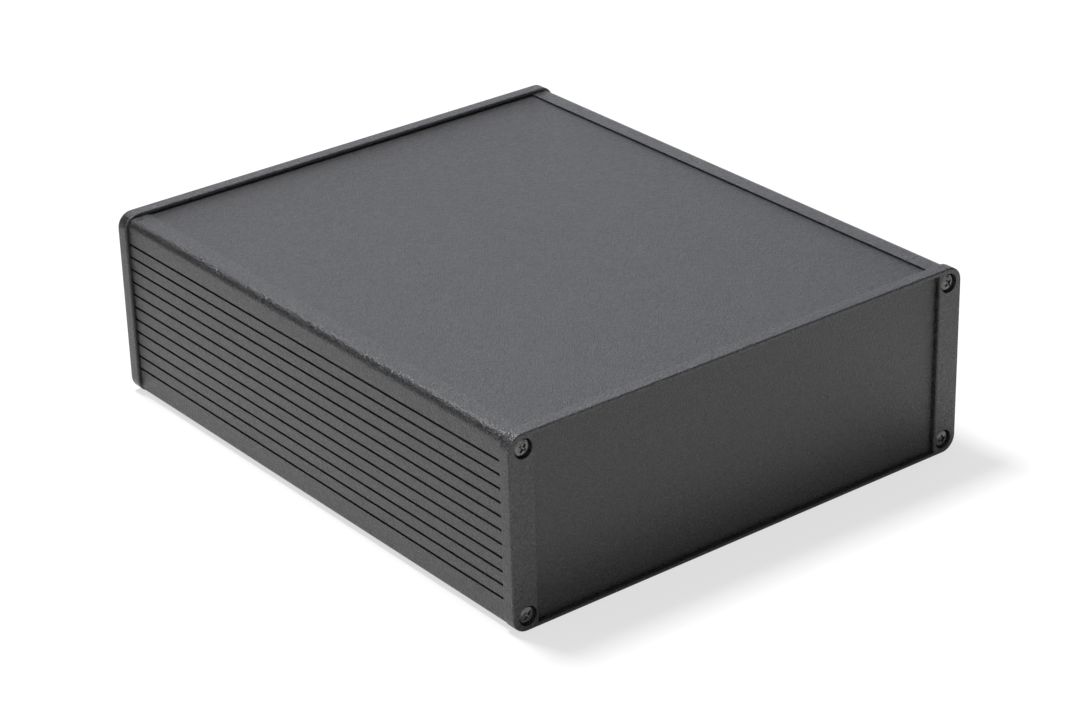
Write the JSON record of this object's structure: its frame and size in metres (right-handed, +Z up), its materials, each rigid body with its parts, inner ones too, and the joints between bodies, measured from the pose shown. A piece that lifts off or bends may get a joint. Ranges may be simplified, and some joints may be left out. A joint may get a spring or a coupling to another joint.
{
  "type": "extruded aluminium enclosure",
  "caption": "Black extruded aluminium instrument enclosure with finely grooved sides, a slide-in cover and end panels held in screwed bezels.",
  "frame": {"origin": "middle of the base, on the surface that the enclosure stands on", "axes": "+X to the right seen from the front, +Y from the front panel to the rear panel, +Z up"},
  "size_m": [0.188, 0.22, 0.068],
  "materials": {
    "body_coat": "fine-textured black powder coat on an aluminium extrusion",
    "cover_coat": "fine-textured black powder coat on an aluminium cover",
    "bezel_coat": "fine-textured black powder coat, slightly lighter at the rounded edges",
    "panel_coat": "smooth satin black coat on a flat aluminium plate",
    "screw_black": "black oxide on steel, semi-gloss"
  },
  "bodies": {
    "root": {"body_shell": "body_coat", "top_cover": "cover_coat", "front_bezel": "bezel_coat", "rear_bezel": "bezel_coat", "front_panel": "panel_coat", "rear_panel": "panel_coat", "front_screw_1": "screw_black", "front_screw_2": "screw_black", "front_screw_3": "screw_black", "front_screw_4": "screw_black", "rear_screw_1": "screw_black", "rear_screw_2": "screw_black", "rear_screw_3": "screw_black", "rear_screw_4": "screw_black"}
  },
  "joints": []
}
